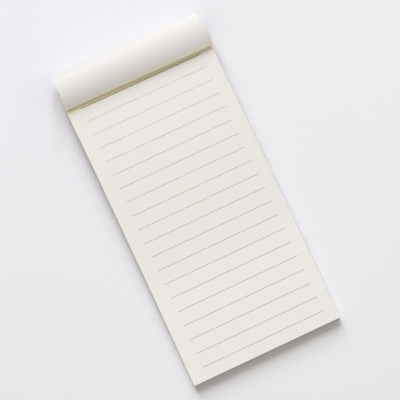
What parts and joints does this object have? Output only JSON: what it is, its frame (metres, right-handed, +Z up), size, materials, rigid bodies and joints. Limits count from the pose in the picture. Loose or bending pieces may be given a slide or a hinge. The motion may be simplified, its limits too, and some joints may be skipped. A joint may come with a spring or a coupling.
{
  "type": "top-bound memo pad with kraft cover",
  "caption": "Slim top-bound pad of ruled off-white paper lying flat, with its cover and first leaves turned back over the bound edge and tucked under the pad.",
  "frame": {"origin": "middle of the footprint, on the surface that the pad lies on", "axes": "+Y along the page from its foot to its bound head, +X across the page to the reader's right, +Z up from the table"},
  "size_m": [0.084, 0.1802, 0.0164],
  "materials": {
    "paper": "uncoated off-white writing paper, slightly toothed, matt",
    "kraft": "unbleached brown kraft card with visible fibres, matt",
    "glue": "thin translucent film of dried padding glue, satin",
    "ink": "thin grey-brown offset print, matt"
  },
  "bodies": {
    "root": {"page_block": "paper", "turned_leaves": "paper", "ruled_lines": "ink", "kraft_cover": "kraft", "padding_glue": "glue"}
  },
  "joints": []
}
